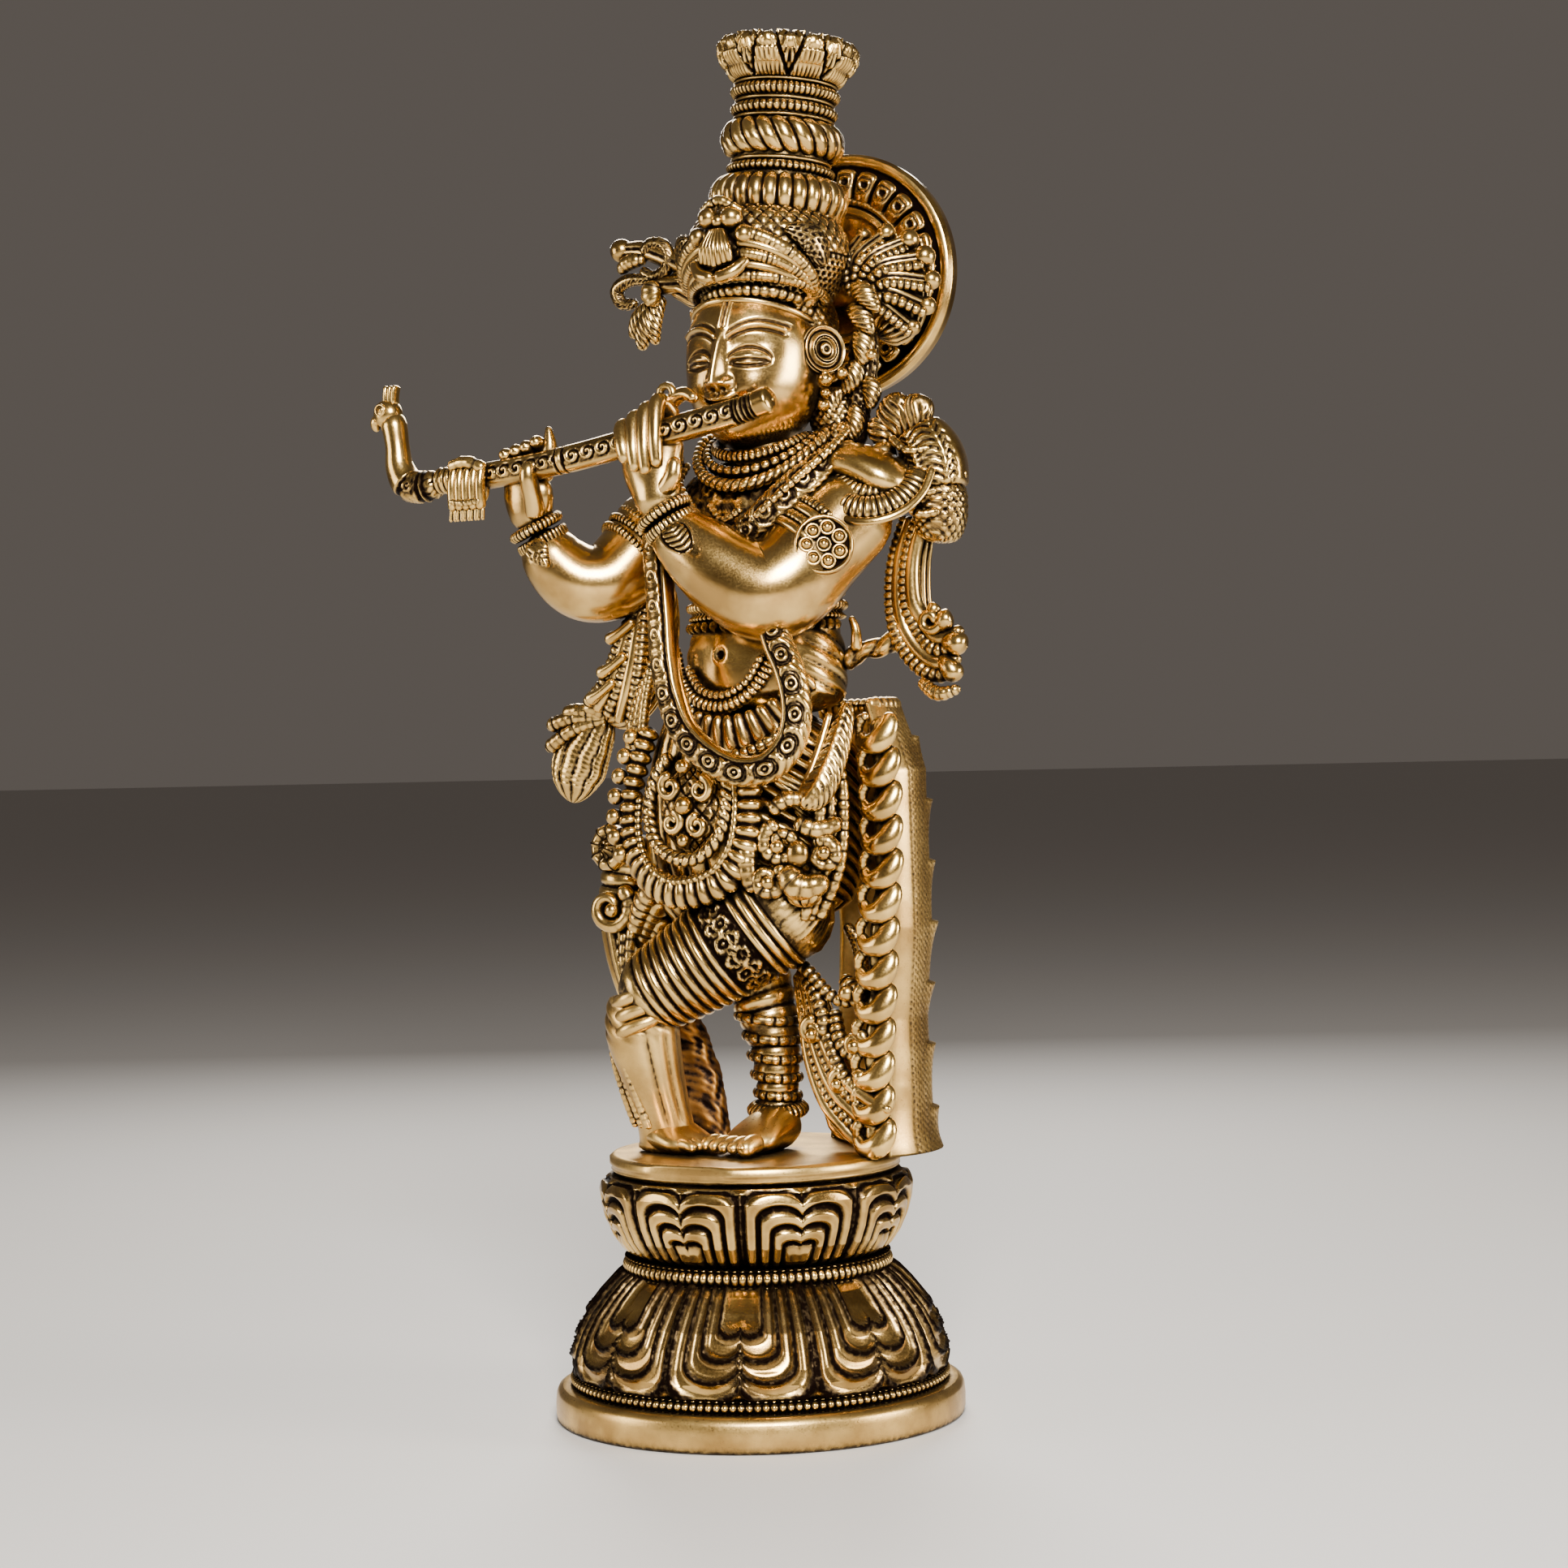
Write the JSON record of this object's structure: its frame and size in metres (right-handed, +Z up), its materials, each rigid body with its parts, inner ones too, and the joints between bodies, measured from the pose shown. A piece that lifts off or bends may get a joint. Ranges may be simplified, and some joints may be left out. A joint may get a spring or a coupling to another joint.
{
  "type": "deity figurine",
  "caption": "brass figurine of a crowned deity playing a transverse flute with crossed legs, draped sash, garland and halo, on a double-lotus pedestal",
  "frame": {"origin": "centre of the pedestal's flat underside", "axes": "+Z up, the figure faces -Y, +X is the figure's own left"},
  "size_m": [0.1397, 0.091, 0.3054],
  "materials": {
    "plain_brass": "brushed and worn smooth",
    "chased_brass": "chased relief, darkened in the recesses"
  },
  "bodies": {
    "root": {"anklet": "chased_brass", "armlet_rosette": "chased_brass", "belly_rope": "chased_brass", "chest_strap": "chased_brass", "crossed_foot": "plain_brass", "crossed_shin": "chased_brass", "crossed_thigh": "chased_brass", "crown_base_ring": "chased_brass", "crown_column": "chased_brass", "crown_flare": "chased_brass", "flute": "chased_brass", "flute_peacock": "chased_brass", "flute_tassel": "chased_brass", "front_swag": "chased_brass", "garland": "chased_brass", "halo_disc": "chased_brass", "head": "plain_brass", "hip_horn": "chased_brass", "hip_wrap": "chased_brass", "inner_swag": "chased_brass", "knee_drape": "chased_brass", "left_bracelet": "chased_brass", "left_ear_disc": "chased_brass", "left_forearm": "plain_brass", "left_hair_curls": "chased_brass", "left_hand": "plain_brass", "left_scarf_tail": "chased_brass", "left_upper_arm": "plain_brass", "lower_bead_ring": "chased_brass", "lower_drape": "chased_brass", "lower_lotus": "chased_brass", "neck": "plain_brass", "necklace": "chased_brass", "plinth": "plain_brass", "right_armlet": "chased_brass", "right_bracelet": "chased_brass", "right_ear_disc": "chased_brass", "right_forearm": "plain_brass", "right_hair_curls": "chased_brass", "right_hand": "plain_brass", "right_scarf_fan": "chased_brass", "right_scarf_folds": "chased_brass", "right_upper_arm": "plain_brass", "sash_panel": "chased_brass", "sash_ruffle": "chased_brass", "shoulder_collar": "chased_brass", "shoulder_tuft": "chased_brass", "standing_foot": "plain_brass", "standing_shin": "plain_brass", "support_web": "plain_brass", "swag_pendant": "chased_brass", "thigh_knots": "chased_brass", "top_slab": "plain_brass", "torso": "plain_brass", "turban": "chased_brass", "turban_ornament": "chased_brass", "upper_lotus": "chased_brass", "waist_belt": "chased_brass", "waist_ring": "chased_brass", "waistband": "chased_brass"}
  },
  "joints": []
}
